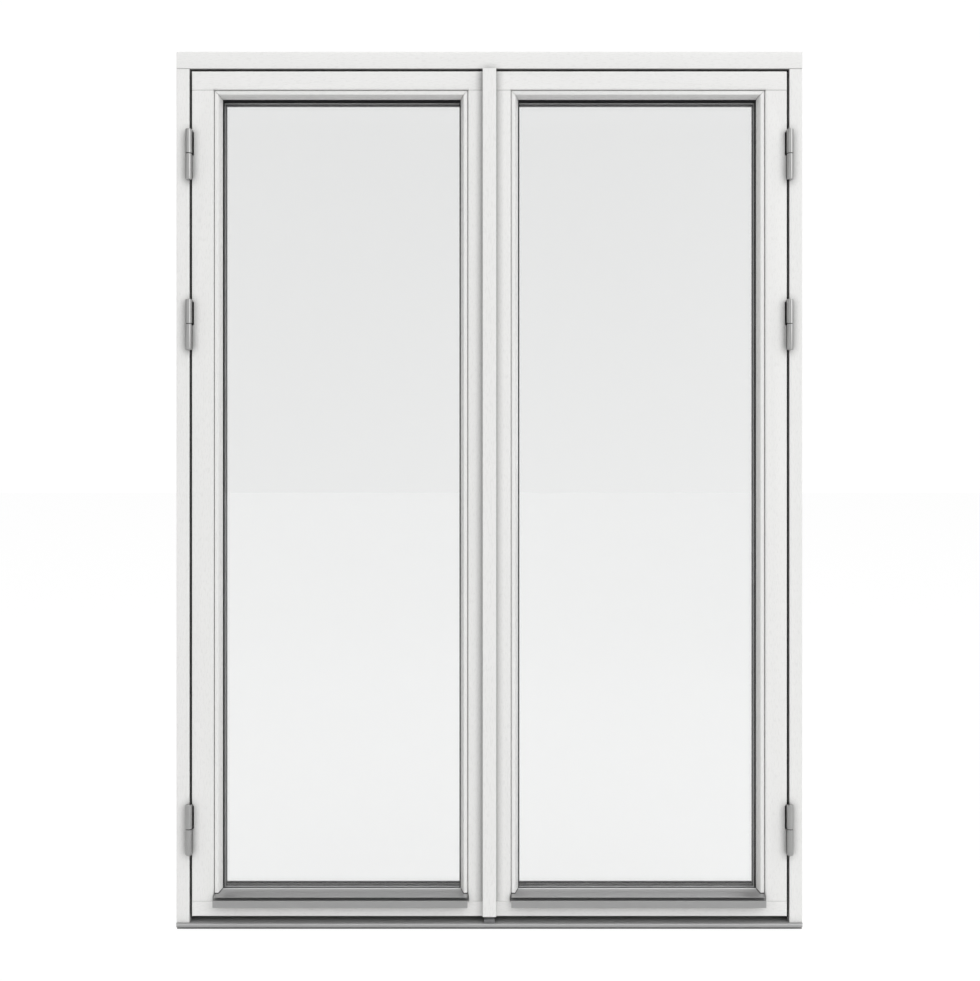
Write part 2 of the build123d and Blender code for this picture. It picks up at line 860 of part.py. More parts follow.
# Weather bar: one open extrusion with a lip at the glass, a slope, a channel and a drip nose
with BuildPart() as weather_bar:
    nose_y = front - bar_reach
    ledge_top = wall_bottom + bar_ledge
    nose_top = wall_bottom + bar_nose_rise
    channel_back = nose_y + bar_wall + bar_channel + bar_overhang
    foot_end = bar_slope_start + 1

    def slope_at(y):
        """Height of the bar's sloped upper face at depth y."""
        return bar_slope_top - bar_incline * (bar_slope_start - y)

    skin = bar_wall * (1 + bar_incline**2) ** 0.5
    with BuildSketch(Plane.YZ.offset(wall_meeting + bar_end_gap)) as bar_section:
        with BuildLine():
            Polyline(
                (bead_back, bar_lip_top),
                (bead_back - bar_ledge, bar_lip_top),
                (bar_slope_start, bar_slope_top),
                (bar_slope_end, bar_slope_low),
                (bar_slope_end, bar_slope_low - bar_wall),
                (channel_back, slope_at(channel_back) - skin),
                (channel_back, ledge_top),
                (nose_y + bar_wall, ledge_top),
                (nose_y + bar_wall, nose_top),
                (nose_y, nose_top),
                (nose_y, nose_top - bar_nose_height),
                (nose_y + bar_wall, nose_top - bar_nose_height),
                (nose_y + bar_wall, wall_bottom),
                (front, wall_bottom),
                (foot_end, platform(foot_end)),
                (foot_end, platform(foot_end) + bar_ledge),
                (channel_back + bar_wall, platform(channel_back + bar_wall) + bar_ledge),
                (channel_back + bar_wall, slope_at(channel_back + bar_wall) - skin),
                (bar_slope_start, bar_slope_top - skin),
                (bead_back, bar_slope_top - skin),
                close=True,
            )
        make_face()
        nose_corners = bar_section.vertices().group_by(Axis.X)[0]
        fillet(nose_corners, radius=bar_wall / 3)
    extrude(amount=wall_hinge - wall_meeting - 2 * bar_end_gap)
write_pair(weather_bar, "weather_bar")


def glazing_ring(y, thickness, outer, inner):
    """A rectangular ring about the glass, its two outlines given as insets from the glass edge."""
    middle = ((glass_left + glass_right) / 2, (glass_low + glass_high) / 2)
    width = glass_right - glass_left
    height = glass_high - glass_low
    with BuildPart() as ring:
        with BuildSketch(Plane.XZ.offset(-y)):
            with Locations(middle):
                Rectangle(width - 2 * outer, height - 2 * outer)
                Rectangle(width - 2 * inner, height - 2 * inner, mode=Mode.SUBTRACT)
        extrude(amount=-thickness)
    return ring


pane_starts = [glass_front + i * (pane_thickness + cavity) for i in range(3)]
with BuildPart() as glass:
    for pane_start in pane_starts:
        with BuildSketch(Plane.XZ.offset(-pane_start)):
            with Locations(((glass_left + glass_right) / 2, (glass_low + glass_high) / 2)):
                Rectangle(glass_right - glass_left, glass_high - glass_low)
        extrude(amount=-pane_thickness)
write_pair(glass, "glass")

with BuildPart() as spacers:
    for pane_start in pane_starts[:2]:
        spacer_start = pane_start + pane_thickness
        add(glazing_ring(spacer_start, cavity, sealant_depth, sealant_depth + spacer_width).part)
write_pair(spacers, "spacers")

edge_cover = lip_reach - glass_clearance
with BuildPart() as gasket_outer:
    with BuildSketch(Plane.XZ.offset(-bead_back)):
        low, high = bar_lip_top, sight_top
        with Locations(((sight_meeting + sight_hinge) / 2, (low + high) / 2)):
            span = sight_hinge - sight_meeting
            grown = 2 * (gasket_width - gasket_show)
            Rectangle(span + grown, high - low + grown)
            Rectangle(span - 2 * gasket_show, high - low - 2 * gasket_show, mode=Mode.SUBTRACT)
    extrude(amount=-gasket_thickness)
write_pair(gasket_outer, "gasket_outer")

with BuildPart() as gasket_inner:
    with BuildSketch(Plane.XZ.offset(-glass_back)):
        with Locations(((sight_meeting + sight_hinge) / 2, (sight_bottom + sight_top) / 2)):
            span = sight_hinge - sight_meeting
            drop = sight_top - sight_bottom
            grown = 2 * (edge_cover - gasket_show)
            Rectangle(span + grown, drop + grown)
            Rectangle(span, drop, mode=Mode.SUBTRACT)
    extrude(amount=-gasket_thickness)
write_pair(gasket_inner, "gasket_inner")

# Setting blocks carry the sealed unit above the sloped rebate
with BuildPart() as setting_blocks:
    quarter = (glass_right - glass_left) / 4
    for middle in (glass_left + quarter, glass_right - quarter):
        with BuildSketch(Plane.YZ.offset(middle - block_length / 2)):
            with BuildLine():
                Polyline(
                    (glass_front, platform(glass_front)),
                    (glass_back, platform(glass_back)),
                    (glass_back, glass_low),
                    (glass_front, glass_low),
                    close=True,
                )
            make_face()
        extrude(amount=block_length)
write_pair(setting_blocks, "setting_blocks")

# Astragal on the active leaf, stepped back over the passive one for its seal
with BuildPart() as astragal:
    with BuildSketch(Plane.XY.offset(leaf_bottom + astragal_foot)) as astragal_section:
        half = astragal_width / 2
        with BuildLine():
            Polyline(
                (-half, front - astragal_depth),
                (half, front - astragal_depth),
                (half, front),
                (leaf_inner, front),
                (leaf_inner, front - astragal_seal_gap),
                (-half, front - astragal_seal_gap),
                close=True,
            )
        make_face()
        fillet(astragal_section.vertices().group_by(Axis.Y)[0], radius=edge_radius)
    extrude(amount=leaf_top + astragal_overrun - leaf_bottom - astragal_foot)
write(astragal, "astragal")

with BuildPart() as astragal_seal:
    with BuildSketch(Plane.XY.offset(leaf_bottom + astragal_foot)):
        with Locations((-(leaf_inner + astragal_width / 2) / 2, front - astragal_seal_gap)):
            Rectangle(seal_width, astragal_seal_gap - air, align=(Align.CENTER, Align.MIN))
    extrude(amount=leaf_top - leaf_bottom - astragal_foot)
write(astragal_seal, "astragal_seal")

# Espagnolette: faceplate, case, two shoot rods and a centre bolt, all worked by the hub
rod_low_end = handle_height - case_height / 2 + rod_engagement
rod_high_end = handle_height + case_height / 2 - rod_engagement

with BuildPart() as faceplate:
    with BuildSketch(Plane.YZ.offset(leaf_inner)):
        plate_low = leaf_bottom + faceplate_end_gap
        plate_high = leaf_top - faceplate_end_gap
        with Locations((lock_line, (plate_low + plate_high) / 2)):
            Rectangle(faceplate_width, plate_high - plate_low)
        with Locations((lock_line, (bolt_low + bolt_high) / 2)):
            Rectangle(bolt_thickness + 2 * air, bolt_height + 2 * air, mode=Mode.SUBTRACT)
    extrude(amount=faceplate_thickness)
write(faceplate, "faceplate")

with BuildPart() as lock_case:
    with BuildSketch(Plane.XZ.offset(-lock_line - case_thickness / 2)) as case_outline:
        with Locations(((case_front + case_back) / 2, handle_height)):
            Rectangle(case_width, case_height)
        fillet(case_outline.vertices().group_by(Axis.X)[-1], radius=4)
        with Locations((hub_x, handle_height)):
            Circle(hub_radius + hub_clearance, mode=Mode.SUBTRACT)
    extrude(amount=case_thickness)
    pocket_y = (
        lock_line - rod_bar_width / 2 - flush_clearance,
        lock_line + rod_bar_width / 2 + flush_clearance,
    )
    pocket_x = (case_front - 1, case_front + rod_bar_thickness + flush_clearance)
    cut_block(pocket_x, pocket_y, (rod_high_end - 2, handle_height + case_height))
    cut_block(pocket_x, pocket_y, (handle_height - case_height, rod_low_end + 2))
    cut_block(
        (case_front - 1, case_front + bolt_length + 1),
        (lock_line - bolt_thickness / 2 - air, lock_line + bolt_thickness / 2 + air),
        (bolt_low - air, bolt_high + air),
    )
write(lock_case, "lock_case")

with BuildPart() as lock_hub:
    with BuildSketch(Plane.XZ.offset(-lock_line - case_thickness / 2)):
        with Locations((hub_x, handle_height)):
            Circle(hub_radius)
            Rectangle(spindle_size, spindle_size, mode=Mode.SUBTRACT)
    extrude(amount=case_thickness)
write(lock_hub, "lock_hub")


def shoot_rod(bar_end, tip):
    """A flat bar behind the faceplate that ends in a round shoot at the leaf's edge."""
    upward = 1 if tip > bar_end else -1
    with BuildPart() as rod:
        with BuildSketch(Plane.XY.offset(bar_end)):
            with Locations((case_front, lock_line)):
                Rectangle(
                    rod_bar_thickness,
                    rod_bar_width,
                    align=(Align.MIN, Align.CENTER),
                )
        extrude(amount=tip - bar_end - upward * rod_end_length / 2)
        with BuildSketch(Plane.XY.offset(tip - upward * rod_end_length)):
            with Locations((rod_x, lock_line)):
                Circle(rod_end_radius)
        extrude(amount=upward * rod_end_length)
        tips = rod.edges().filter_by(GeomType.CIRCLE).sort_by(Axis.Z)
        chamfer(tips[-1] if upward > 0 else tips[0], length=1.5)
    return rod


upper_rod = shoot_rod(rod_high_end, leaf_top - rod_set_in)
write(upper_rod, "upper_rod")
lower_rod = shoot_rod(rod_low_end, leaf_bottom + rod_set_in)
write(lower_rod, "lower_rod")

with BuildPart() as centre_bolt:
    with BuildSketch(Plane.YZ.offset(leaf_inner + 0.5)):
        with Locations((lock_line, (bolt_low + bolt_high) / 2)):
            Rectangle(bolt_thickness, bolt_height)
    extrude(amount=bolt_length)
    chamfer(centre_bolt.faces().sort_by(Axis.X)[0].edges(), length=1)
write(centre_bolt, "centre_bolt")

# Handle on the inside of the active leaf, upright when unlocked
with BuildPart() as handle_rose:
    with BuildSketch(Plane.XZ.offset(-rose_front)) as rose_outline:
        with Locations((hub_x, handle_height)):
            RectangleRounded(rose_width, rose_height, rose_width / 2 - 1)
            Circle(spindle_size * 0.8, mode=Mode.SUBTRACT)
    extrude(amount=-rose_thickness)
    outer_face = handle_rose.faces().sort_by(Axis.Y)[-1]
    chamfer(outer_face.outer_wire().edges(), length=edge_radius)
write(handle_rose, "handle_rose")

with BuildPart() as handle_lever:
    grip_y = leaf_back + lever_stand_off
    with BuildLine(Plane.YZ.offset(hub_x)) as lever_path:
        FilletPolyline(
            (lever_base, handle_height),
            (grip_y, handle_height),
            (grip_y, handle_height + lever_length),
            radius=lever_bend,
        )
    with BuildSketch(Plane.XZ.offset(-lever_base)):
        with Locations((hub_x, handle_height)):
            Circle(lever_radius)
    sweep()
    chamfer(handle_lever.edges().sort_by(Axis.Z)[-1], length=edge_radius)
    with BuildSketch(Plane.XZ.offset(-lever_base)):
        with Locations((hub_x, handle_height)):
            Rectangle(spindle_size, spindle_size)
    extrude(amount=-spindle_socket, mode=Mode.SUBTRACT)
write(handle_lever, "handle_lever")

with BuildPart() as spindle:
    with BuildSketch(Plane.XZ.offset(-lock_line + case_thickness / 2)):
        with Locations((hub_x, handle_height)):
            Rectangle(spindle_size, spindle_size)
    extrude(amount=-(lever_base + spindle_socket - lock_line + case_thickness / 2))
write(spindle, "spindle")


# Passive leaf: flush bolts in its edge, their plates and the strike for the centre bolt
def flush_bolt(end, inward):
    """A round bolt with a thumb piece at its root, set in from the leaf's end."""
    tip = end + inward * rod_set_in
    root = tip + inward * flush_bolt_length
    with BuildPart() as bolt:
        with BuildSketch(Plane.XY.offset(root)):
            with Locations((-rod_x, lock_line)):
                Circle(rod_end_radius)
        extrude(amount=tip - root)
        ends = bolt.edges().filter_by(GeomType.CIRCLE).sort_by(Axis.Z)
        chamfer(ends[0] if inward > 0 else ends[-1], length=1.5)
        with BuildSketch(Plane.XY.offset(root)):
            with Locations((-rod_x, lock_line)):
                Rectangle(
                    rod_x - leaf_inner - 0.5,
                    thumb_width,
                    align=(Align.MIN, Align.CENTER),
                )
        extrude(amount=-inward * thumb_height)
    return bolt


write(flush_bolt(leaf_top, -1), "upper_flush_bolt")
write(flush_bolt(leaf_bottom, 1), "lower_flush_bolt")

with BuildPart() as flush_plates:
    for end, inward in ((leaf_top, -1), (leaf_bottom, 1)):
        root = end + inward * (flush_bolt_length + rod_set_in)
        slot_start = root + inward * flush_clearance
        slot_end = root - inward * (thumb_height + rod_travel + flush_clearance)
        with BuildSketch(Plane.YZ.offset(-leaf_inner - strike_thickness)):
            with Locations((lock_line, end + inward * flush_bolt_length)):
                Rectangle(keep_width, flush_plate_height)
            with Locations((lock_line, (slot_start + slot_end) / 2)):
                Rectangle(
                    thumb_width + 2 * flush_clearance,
                    abs(slot_end - slot_start),
                    mode=Mode.SUBTRACT,
                )
        extrude(amount=strike_thickness)
write(flush_plates, "flush_bolt_plates")

with BuildPart() as strike_plate:
    with BuildSketch(Plane.YZ.offset(-leaf_inner - strike_thickness)):
        with Locations((lock_line, (bolt_low + bolt_high) / 2)):
            Rectangle(keep_width, strike_height)
            Rectangle(bolt_thickness + 2, bolt_height + 2, mode=Mode.SUBTRACT)
    extrude(amount=strike_thickness)
write(strike_plate, "strike_plate")
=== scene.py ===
# %% [markdown]
# The model comes in first, as a fixed set of solids in metres: X to the right seen from outside,
# Y from outside to inside, Z up. Everything made below is placed by reading these solids, so
# nothing has to be fitted by eye.

import json
import math

import bmesh
import bpy
import numpy as np
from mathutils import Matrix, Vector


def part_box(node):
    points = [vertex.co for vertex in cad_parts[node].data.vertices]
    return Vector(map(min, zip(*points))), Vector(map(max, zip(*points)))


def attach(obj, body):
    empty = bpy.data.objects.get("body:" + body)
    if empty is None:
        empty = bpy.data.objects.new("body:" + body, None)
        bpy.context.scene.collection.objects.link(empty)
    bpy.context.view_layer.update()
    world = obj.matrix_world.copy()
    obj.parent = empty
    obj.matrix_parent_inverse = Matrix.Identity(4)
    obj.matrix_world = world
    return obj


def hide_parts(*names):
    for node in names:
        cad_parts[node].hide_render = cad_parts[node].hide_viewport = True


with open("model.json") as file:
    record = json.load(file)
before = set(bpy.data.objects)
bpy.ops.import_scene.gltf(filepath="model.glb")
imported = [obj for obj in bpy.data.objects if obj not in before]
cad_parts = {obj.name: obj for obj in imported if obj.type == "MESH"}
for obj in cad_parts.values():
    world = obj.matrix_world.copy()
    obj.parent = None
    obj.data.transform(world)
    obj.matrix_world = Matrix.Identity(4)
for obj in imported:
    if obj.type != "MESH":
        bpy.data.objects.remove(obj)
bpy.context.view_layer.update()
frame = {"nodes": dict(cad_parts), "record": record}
body_of_node = {n: b for b, ns in frame["record"]["behaviour"]["bodies"].items() for n in ns}
slot_of_node = {s["node"]: s["material_slot"] for s in frame["record"]["subparts"]}

# %% [markdown]
# A product photo of a door is taken level, from half its height and from a few metres away, with
# a lens a little longer than the eye's view. Held level, the camera keeps every upright upright.
# The distance is read from how far the deeper pieces, such as the glass edge, shift towards the
# middle of the picture.

# %% Camera at the photograph's view
camera_distance = 3.242
camera_height = 1.0454
camera_side_step = 0.0014
face_of_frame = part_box("jamb_right")[0].y

camera_data = bpy.data.cameras.new("camera")
camera_data.lens = 50.0
camera_data.sensor_width = 36.0
camera = bpy.data.objects.new("camera", camera_data)
camera.location = (camera_side_step, face_of_frame - camera_distance, camera_height)
camera.rotation_euler = (math.pi / 2, 0.0, 0.0)
bpy.context.scene.collection.objects.link(camera)
bpy.context.scene.camera = camera
bpy.context.scene.view_settings.view_transform = "Standard"
print("camera at", tuple(round(c, 3) for c in camera.location))

# %% [markdown]
# Materials and the sky are trees of nodes. A few helpers keep their making short: one adds a node
# and sets its inputs, one adds a ramp of grey levels and one a Math node. The last tells the rays
# that come straight from the camera from those that some surface has turned, so that the backdrop
# can look white without lighting the door.

# %% Helpers for node trees


def add_node(tree, kind, **inputs):
    """Add a node and set its named inputs. A name's underscores stand for spaces."""
    node = tree.nodes.new(kind)
    for name, value in inputs.items():
        node.inputs[name.replace("_", " ")].default_value = value
    return node


def grey(level):
    """A neutral colour, fully opaque."""
    return (level, level, level, 1.0)


def ramp(tree, factor, stops):
    """Add a colour ramp of grey stops, given as (place, level), fed by a socket."""
    node = tree.nodes.new("ShaderNodeValToRGB")
    elements = node.color_ramp.elements
    while len(elements) < len(stops):
        elements.new(0.5)
    for element, (place, level) in zip(elements, stops):
        element.position = place
        element.color = grey(level)
    tree.links.new(factor, node.inputs["Fac"])
    return node.outputs["Color"]


def maths(tree, operation, first, second):
    """Add a Math node on two sockets or numbers."""
    node = tree.nodes.new("ShaderNodeMath")
    node.operation = operation
    for socket, value in zip(node.inputs, (first, second)):
        if isinstance(value, (int, float)):
            socket.default_value = value
        else:
            tree.links.new(value, socket)
    return node.outputs[0]


def straight_view(tree):
    """1 for the camera's rays, also through glass, and 0 for rays that some surface has turned."""
    path = tree.nodes.new("ShaderNodeLightPath")
    camera_ray, through_ray = path.outputs["Is Camera Ray"], path.outputs["Is Transmission Ray"]
    seen = maths(tree, "MAXIMUM", camera_ray, through_ray)
    turned = maths(tree, "ADD", path.outputs["Diffuse Depth"], path.outputs["Glossy Depth"])
    return maths(tree, "MULTIPLY", seen, maths(tree, "LESS_THAN", turned, 0.5))


# %% [markdown]
# The studio is a wide pale floor under a bright sky. What the camera sees of the sky, also through
# the glass, is plain white. What lights the door is a sky of three levels multiplied together. The
# first is brighter on the right. The second is bright in a broad ring ahead of the door, dim beside
# it and brightest in a narrow ring behind, for the room side. The third is dimmer a little above
# the horizon. In the middle of each ring is a dim patch: the flat glass mirrors it and takes its
# faint grey from it.

# %% Sky
sky_strength = 2.61
backdrop_white = 1.012
world = bpy.data.worlds.new("studio sky")
bpy.context.scene.world = world
world.use_nodes = True
sky = world.node_tree
sky.nodes.clear()


def level_along(axis, stops):
    """Sky level by one part of the direction looked in, -1 to 1 along the axis."""
    place = maths(sky, "MULTIPLY_ADD", split_direction.outputs[axis], 0.5)
    place.node.inputs[2].default_value = 0.5
    return ramp(sky, place, [((part + 1.0) / 2.0, level) for part, level in stops])


direction = sky.nodes.new("ShaderNodeTexCoord")
split_direction = sky.nodes.new("ShaderNodeSeparateXYZ")
sky.links.new(direction.outputs["Generated"], split_direction.inputs[0])
from_side = level_along("X", [(-1.0, 0.40), (-0.3, 0.58), (0.15, 0.76), (0.5, 1.0), (1.0, 0.84)])
from_front = level_along(
    "Y", [(-0.985, 0.28), (-0.93, 0.36), (-0.87, 1.0), (-0.5, 0.92), (-0.2, 0.52), (0.1, 0.34),
          (0.5, 0.22), (0.80, 0.26), (0.85, 1.5), (0.90, 1.5), (0.94, 0.34), (1.0, 0.28)]
)
from_above = level_along(
    "Z", [(-0.05, 1.0), (0.0, 0.95), (0.25, 0.45), (0.40, 0.85), (1.0, 0.90)]
)
sky_level = maths(sky, "MULTIPLY", maths(sky, "MULTIPLY", from_side, from_front), from_above)
lighting = add_node(sky, "ShaderNodeBackground", Color=grey(1.0))
sky.links.new(maths(sky, "MULTIPLY", sky_level, sky_strength), lighting.inputs["Strength"])
backdrop = add_node(sky, "ShaderNodeBackground", Strength=backdrop_white, Color=grey(1.0))
seen = straight_view(sky)
choose = sky.nodes.new("ShaderNodeMixShader")
sky.links.new(seen, choose.inputs["Fac"])
sky.links.new(lighting.outputs[0], choose.inputs[1])
sky.links.new(backdrop.outputs[0], choose.inputs[2])
sky_output = sky.nodes.new("ShaderNodeOutputWorld")
sky.links.new(choose.outputs[0], sky_output.inputs["Surface"])
print("sky strength:", sky_strength, "backdrop:", backdrop_white)

# %% [markdown]
# One large soft lamp stands to the right in front, which gives the beads on the left of each glass
# their bright slope and leaves the right ones greyer. A weaker one fills from the left and a long
# one hangs above.

# %% Lamps


def soft_lamp(name, place, target, width, height, power):
    """Add an area lamp of the given size at a place, turned to a target point."""
    data = bpy.data.lights.new(name, "AREA")
    data.shape = "RECTANGLE"
    data.size = width
    data.size_y = height
    data.energy = power
    lamp = bpy.data.objects.new(name, data)
    lamp.location = place
    away = np.array(place) - np.array(target)
    turn = math.atan2(away[0], -away[1])
    lean = math.atan2(math.hypot(away[0], away[1]), away[2])
    lamp.rotation_euler = (lean, 0.0, turn)
    lamp.visible_camera = False
    lamp.visible_transmission = False
    bpy.context.scene.collection.objects.link(lamp)


middle = (0.0, 0.0, 1.05)
soft_lamp("key lamp", (3.6, -3.4, 1.9), middle, 1.6, 3.0, 14.0)
soft_lamp("fill lamp", (-3.6, -4.0, 1.6), middle, 2.0, 2.5, 4.0)
soft_lamp("top lamp", (0.0, -2.4, 4.4), middle, 3.0, 1.6, 8.0)

# %% [markdown]
# The floor is one large square just under the threshold. It throws most of the light that falls on
# it back up at the door, as a pale studio floor does. To the camera it is mostly plain white, mixed
# with a little of a lit white surface, so that a soft shadow stays under the frame. Far off it is
# nearly as white as the backdrop, and nearer it grows a little brighter, so that only a faint trace
# of the horizon shows through the glass.

# %% Floor
floor_reach = 600.0
floor_drop = 0.0005
level_for_light = 0.84
level_when_seen = 0.98
white_share = 0.90
far_white = 1.004
near_extra = 0.23

floor_mesh = bpy.data.meshes.new("floor")
corners = [(-1, -1), (1, -1), (1, 1), (-1, 1)]
floor_mesh.from_pydata(
    [(x * floor_reach, y * floor_reach, -floor_drop) for x, y in corners], [], [(0, 1, 2, 3)]
)
floor = bpy.data.objects.new("floor", floor_mesh)
bpy.context.scene.collection.objects.link(floor)
floor_paint = bpy.data.materials.new("pale floor")
floor_paint.use_nodes = True
tree = floor_paint.node_tree
tree.nodes.clear()
dim = add_node(tree, "ShaderNodeBsdfDiffuse", Color=grey(level_for_light))
lit = add_node(tree, "ShaderNodeBsdfDiffuse", Color=grey(level_when_seen))
plain_white = add_node(tree, "ShaderNodeEmission")
spot = tree.nodes.new("ShaderNodeTexCoord")
spread = tree.nodes.new("ShaderNodeVectorMath")
spread.operation = "LENGTH"
tree.links.new(spot.outputs["Object"], spread.inputs[0])
reach = maths(tree, "ADD", spread.outputs["Value"], camera_distance)
whiteness = maths(tree, "ADD", maths(tree, "DIVIDE", near_extra, reach), far_white)
tree.links.new(whiteness, plain_white.inputs["Strength"])
seen = straight_view(tree)
whitened = tree.nodes.new("ShaderNodeMixShader")
whitened.inputs["Fac"].default_value = white_share
tree.links.new(lit.outputs[0], whitened.inputs[1])
tree.links.new(plain_white.outputs[0], whitened.inputs[2])
choose = tree.nodes.new("ShaderNodeMixShader")
tree.links.new(seen, choose.inputs["Fac"])
tree.links.new(dim.outputs[0], choose.inputs[1])
tree.links.new(whitened.outputs[0], choose.inputs[2])
floor_output = tree.nodes.new("ShaderNodeOutputMaterial")
tree.links.new(choose.outputs[0], floor_output.inputs["Surface"])
floor_mesh.materials.append(floor_paint)
print("floor reaches", floor_reach, "m")

# %% [markdown]
# A finish is built from layers: a colour that wanders a little, a gloss that is not quite even and
# a fine relief, which most real surfaces have, and painted shade: the colour is darkened where
# another surface lies close, so that inner corners and joints read darker, as they do in shade. One
# helper lays out these layers. The pattern is stretched along the way the piece was sawn, rolled or
# drawn, and it reads the place on the object in metres, so it has the same scale on every piece.

# %% A finish from colour, gloss, relief and painted corner shade
fine_per_broad = 14.0
corner_reach = 0.02
corner_samples = 8
corner_levels = [(0.0, 0.30), (0.5, 0.57), (1.0, 1.0)]


def finish(name, colour, wander, roughness, uneven, relief, scale, stretch, metal=0.0, detail=4.0,
           corner_shade=0.0):
    """A material of one colour.

    wander is how far its brightness varies, uneven how far its roughness does, relief the height
    in metres of its fine bumps. scale is how many bumps there are in a metre and stretch is how
    many times finer they are along X, Y and Z. metal, 0 to 1, is how far it mirrors as bare metal
    does, detail how many finer layers the bumps have, and the last argument, 0 to 1, how much
    painted shade darkens the colour in inner corners, where other surfaces lie close.
    """
    material = bpy.data.materials.new(name)
    material.use_nodes = True
    tree = material.node_tree
    shader = tree.nodes["Principled BSDF"]
    place = tree.nodes.new("ShaderNodeTexCoord")
    mapping = tree.nodes.new("ShaderNodeMapping")
    mapping.inputs["Scale"].default_value = stretch
    tree.links.new(place.outputs["Object"], mapping.inputs["Vector"])
    fine = add_node(tree, "ShaderNodeTexNoise", Scale=scale, Detail=detail, Roughness=0.55)
    broad = add_node(tree, "ShaderNodeTexNoise", Scale=scale / fine_per_broad, Detail=2.0)
    tree.links.new(mapping.outputs[0], fine.inputs["Vector"])
    tree.links.new(mapping.outputs[0], broad.inputs["Vector"])

    low = [max(c * (1.0 - wander), 0.0) for c in colour]
    high = [min(c * (1.0 + wander), 1.0) for c in colour]
    tone = tree.nodes.new("ShaderNodeValToRGB")
    tone.color_ramp.elements[0].position = 0.3
    tone.color_ramp.elements[1].position = 0.7
    tone.color_ramp.elements[0].color = (*low, 1.0)
    tone.color_ramp.elements[1].color = (*high, 1.0)
    tree.links.new(broad.outputs["Fac"], tone.inputs["Fac"])

    # Painted shade: the colour is darkened where other surfaces lie within corner_reach, so that
    # inner corners look shaded.
    closeness = tree.nodes.new("ShaderNodeAmbientOcclusion")
    closeness.samples = corner_samples
    closeness.inputs["Distance"].default_value = corner_reach
    openness = ramp(tree, closeness.outputs["AO"], corner_levels)
    corner_shade_mix = tree.nodes.new("ShaderNodeMix")
    corner_shade_mix.data_type = "RGBA"
    corner_shade_mix.blend_type = "MULTIPLY"
    corner_shade_mix.inputs["Factor"].default_value = corner_shade
    tree.links.new(tone.outputs["Color"], corner_shade_mix.inputs["A"])
    tree.links.new(openness, corner_shade_mix.inputs["B"])
    tree.links.new(corner_shade_mix.outputs["Result"], shader.inputs["Base Color"])

    gloss = tree.nodes.new("ShaderNodeMapRange")
    gloss.inputs["To Min"].default_value = roughness - uneven
    gloss.inputs["To Max"].default_value = roughness + uneven
    tree.links.new(fine.outputs["Fac"], gloss.inputs["Value"])
    tree.links.new(gloss.outputs["Result"], shader.inputs["Roughness"])

    bump = add_node(tree, "ShaderNodeBump", Strength=1.0, Distance=relief)
    tree.links.new(fine.outputs["Fac"], bump.inputs["Height"])
    tree.links.new(bump.outputs["Normal"], shader.inputs["Normal"])
    shader.inputs["Metallic"].default_value = metal
    return material


# %% [markdown]
# Factory paint on timber is sprayed: a fine orange peel, satin, with a trace of the grain below
# drawn out along the piece. Uprights and cross members are painted alike, but their grain runs
# the other way, so each has its own stretch. Shade is painted into the corners of all of them, and
# the beads and the bottom rail have only a little of it, so that they stay light beside the glass
# and under the weather bar's nose.

# %% Paint
white = (0.812, 0.810, 0.800)
up_the_piece = (1.0, 1.0, 0.16)
along_the_piece = (0.16, 1.0, 1.0)
orange_peel = (white, 0.006, 0.28, 0.05, 0.000012, 420.0)
# Painted shade: the first two paints darken fully in inner corners, the other two only a fifth as
# much.
paint_upright = finish("white paint on uprights", *orange_peel, up_the_piece, corner_shade=1.0)
paint_across = finish("white paint on cross members", *orange_peel, along_the_piece, corner_shade=1.0)
less_shaded_upright = finish("white paint with less painted shade on uprights", *orange_peel, up_the_piece, corner_shade=0.2)
less_shaded_across = finish("white paint with less painted shade on cross members", *orange_peel, along_the_piece, corner_shade=0.2)
print("paint colour:", white)

# %% [markdown]
# The threshold is oiled hardwood: dark, with pores drawn out along its length. Its cover leaves
# its ends and a strip on the room side to be seen.

# %% Oiled hardwood
sill_wood = finish(
    "oiled hardwood", (0.16, 0.075, 0.035), 0.35, 0.45, 0.10, 0.00012, 260.0, (0.05, 1.0, 1.0),
    detail=8.0,
)
print("sill:", sill_wood.name)

# %% [markdown]
# Extruded aluminium shows faint lines along the way it left the press, under a matt anodised skin.
# On the threshold's cover, feet have made that skin duller. The hinges and the lock are zinc-plated
# steel with a rolled, less directed grain. The handle is ground and satin.

# %% Metals
# Painted shade darkens the inner corners of these metals too: fully on the threshold's cover, less on
# the hinge steel and less still on the aluminium.
aluminium = finish(
    "anodised aluminium", (0.46, 0.46, 0.46), 0.012, 0.30, 0.03, 0.000004, 900.0,
    (0.004, 1.0, 1.0), metal=1.0, corner_shade=0.6,
)
walked_on = finish(
    "matt cover of the threshold", (0.50, 0.50, 0.50), 0.03, 0.42, 0.05, 0.00001, 700.0,
    (0.01, 1.0, 1.0), metal=0.30, corner_shade=1.0,
)
zinc_steel = finish(
    "zinc-plated steel", (0.47, 0.47, 0.465), 0.03, 0.36, 0.04, 0.000005, 500.0,
    (1.0, 1.0, 0.10), metal=1.0, corner_shade=0.8,
)
satin_handle = finish(
    "satin handle metal", (0.60, 0.59, 0.57), 0.03, 0.28, 0.04, 0.00001, 1400.0,
    (0.06, 1.0, 1.0), metal=1.0,
)
print("metals:", [m.name for m in (aluminium, walked_on, zinc_steel, satin_handle)])

# %% [markdown]
# Seals and gaskets are black rubber with a fine bloom. The small block on the threshold is grey
# moulded plastic, the hinge washers and the blocks under the glass are black, and the spacer is a
# matt grey strip.

